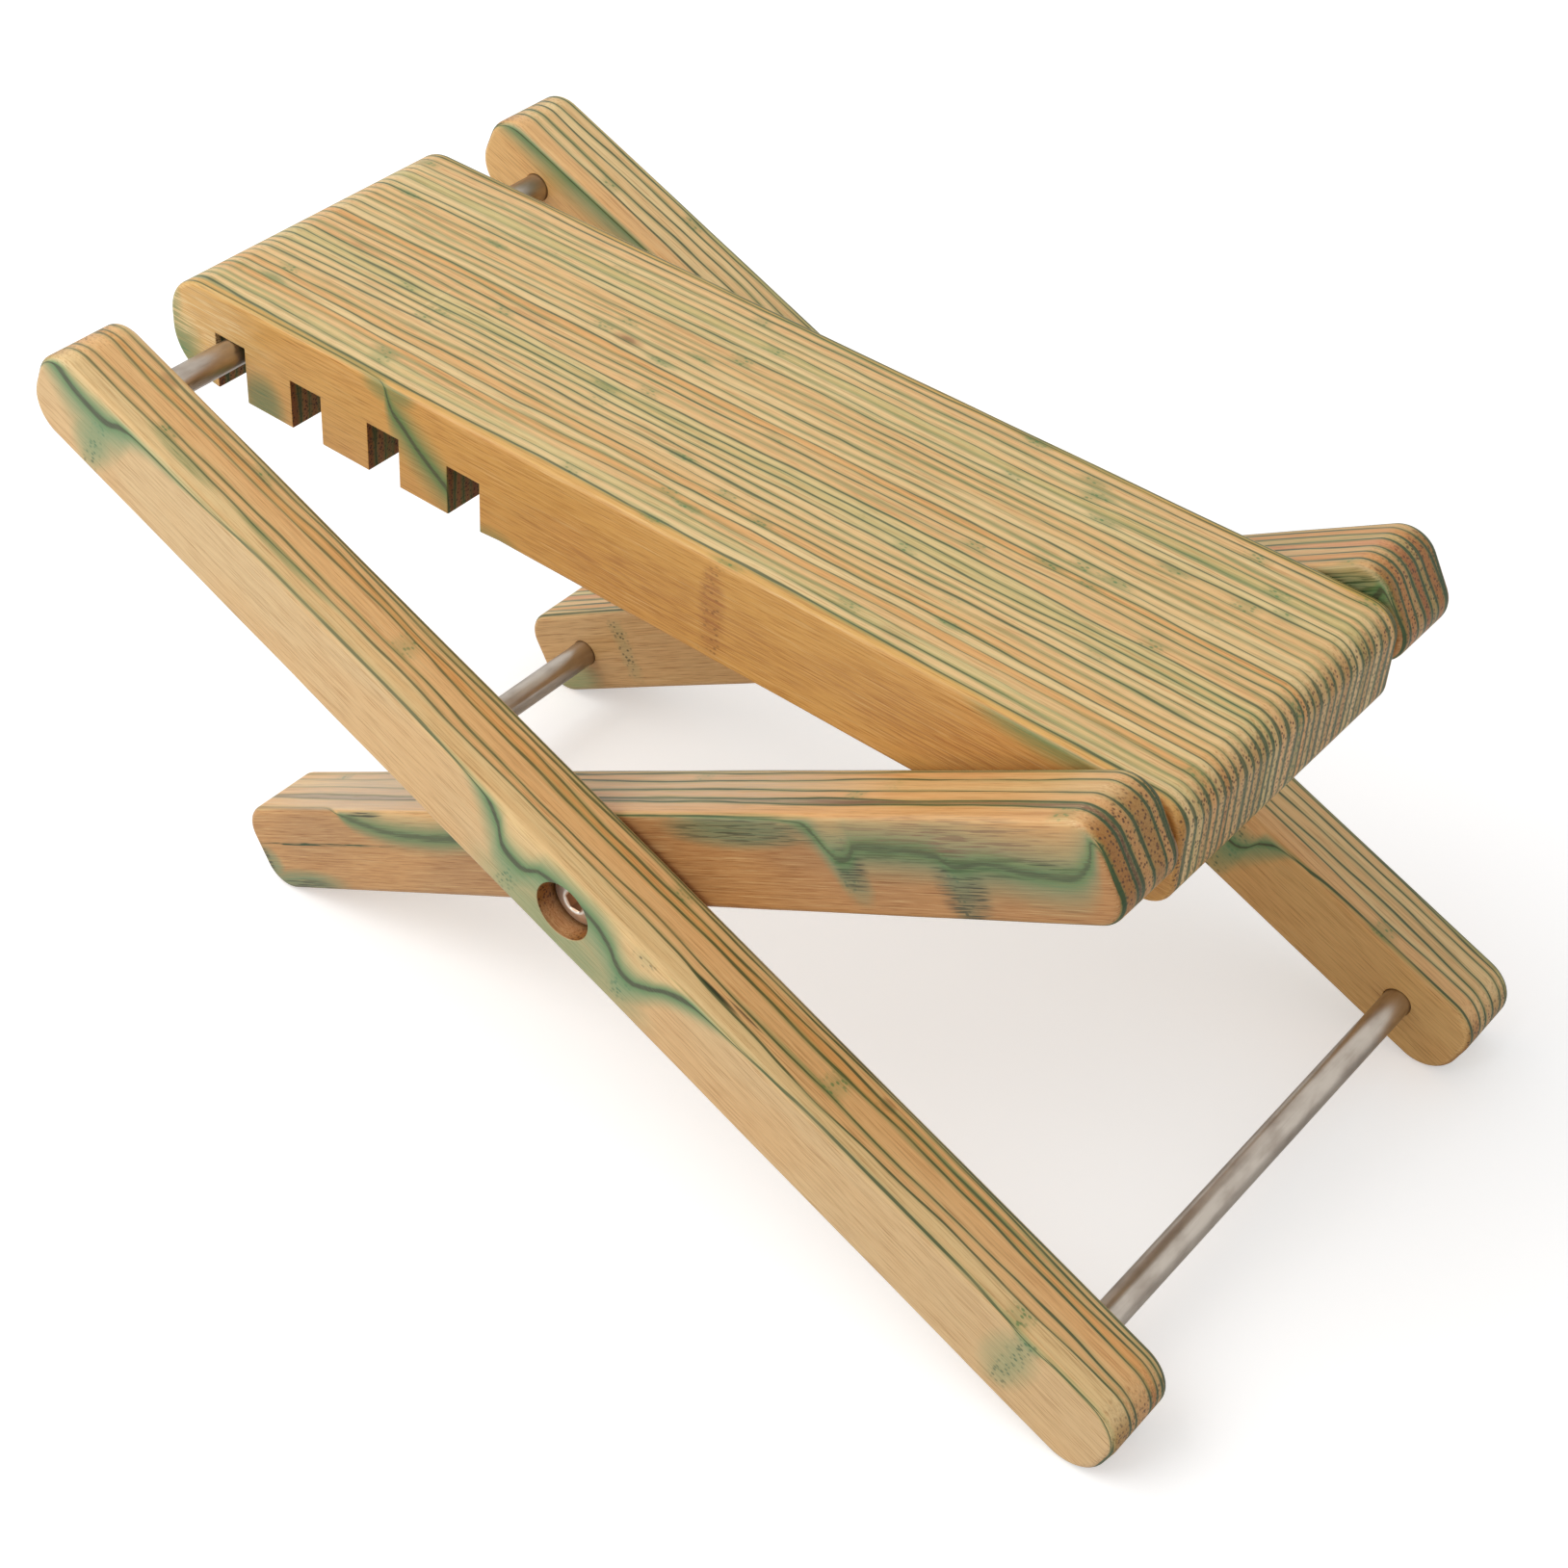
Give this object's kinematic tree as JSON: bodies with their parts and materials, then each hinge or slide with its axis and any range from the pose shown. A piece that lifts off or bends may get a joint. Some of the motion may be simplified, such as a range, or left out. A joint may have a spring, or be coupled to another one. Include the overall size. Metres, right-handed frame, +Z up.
{
  "type": "guitar footrest",
  "caption": "Folding footrest: a laminated bamboo footplate hinged between crossed legs, held at its other end by a steel rod in a row of notches.",
  "frame": {"origin": "on the floor, under the middle of the footrest's length and width", "axes": "+X from the notched end to the hinge end, +Y across the footrest, +Z up"},
  "size_m": [0.3456, 0.19, 0.174],
  "materials": {
    "footplate_bamboo": "sanded and oiled, laminated with dark green glue lines",
    "outer_leg_bamboo": "sanded and oiled, laminated with dark green glue lines",
    "inner_leg_bamboo": "sanded and oiled, laminated with dark green glue lines",
    "rod_steel": "drawn, satin",
    "bolt_steel": "zinc plated, satin",
    "insert_steel": "zinc plated, dull",
    "washer_steel": "satin"
  },
  "bodies": {
    "outer_frame": {"outer_leg_near": "outer_leg_bamboo", "outer_leg_far": "outer_leg_bamboo", "notch_rod": "rod_steel", "outer_foot_rod": "rod_steel"},
    "inner_frame": {"inner_leg_near": "inner_leg_bamboo", "inner_leg_far": "inner_leg_bamboo", "inner_foot_rod": "rod_steel", "hinge_rod": "rod_steel", "pivot_bolt_near": "bolt_steel", "pivot_bolt_far": "bolt_steel", "threaded_insert_near": "insert_steel", "threaded_insert_far": "insert_steel", "leg_washer_near": "washer_steel", "leg_washer_far": "washer_steel", "hinge_washer_near": "washer_steel", "hinge_washer_far": "washer_steel"},
    "footplate": {"footplate": "footplate_bamboo"}
  },
  "joints": [
    {"name": "scissor_pivot", "type": "hinge", "parent": "outer_frame", "child": "inner_frame", "pos_m": [0.00758, 0, 0.08387], "axis": [0, 1, 0], "range_deg": [0, 52.6]},
    {"name": "footplate_hinge", "type": "hinge", "parent": "inner_frame", "child": "footplate", "pos_m": [0.12156, 0, 0.14427], "axis": [0, 1, 0], "range_deg": [0, 84.2]}
  ],
  "couplings": [
    {"joint": "footplate_hinge", "follows": "scissor_pivot", "ratio": 1.6}
  ]
}
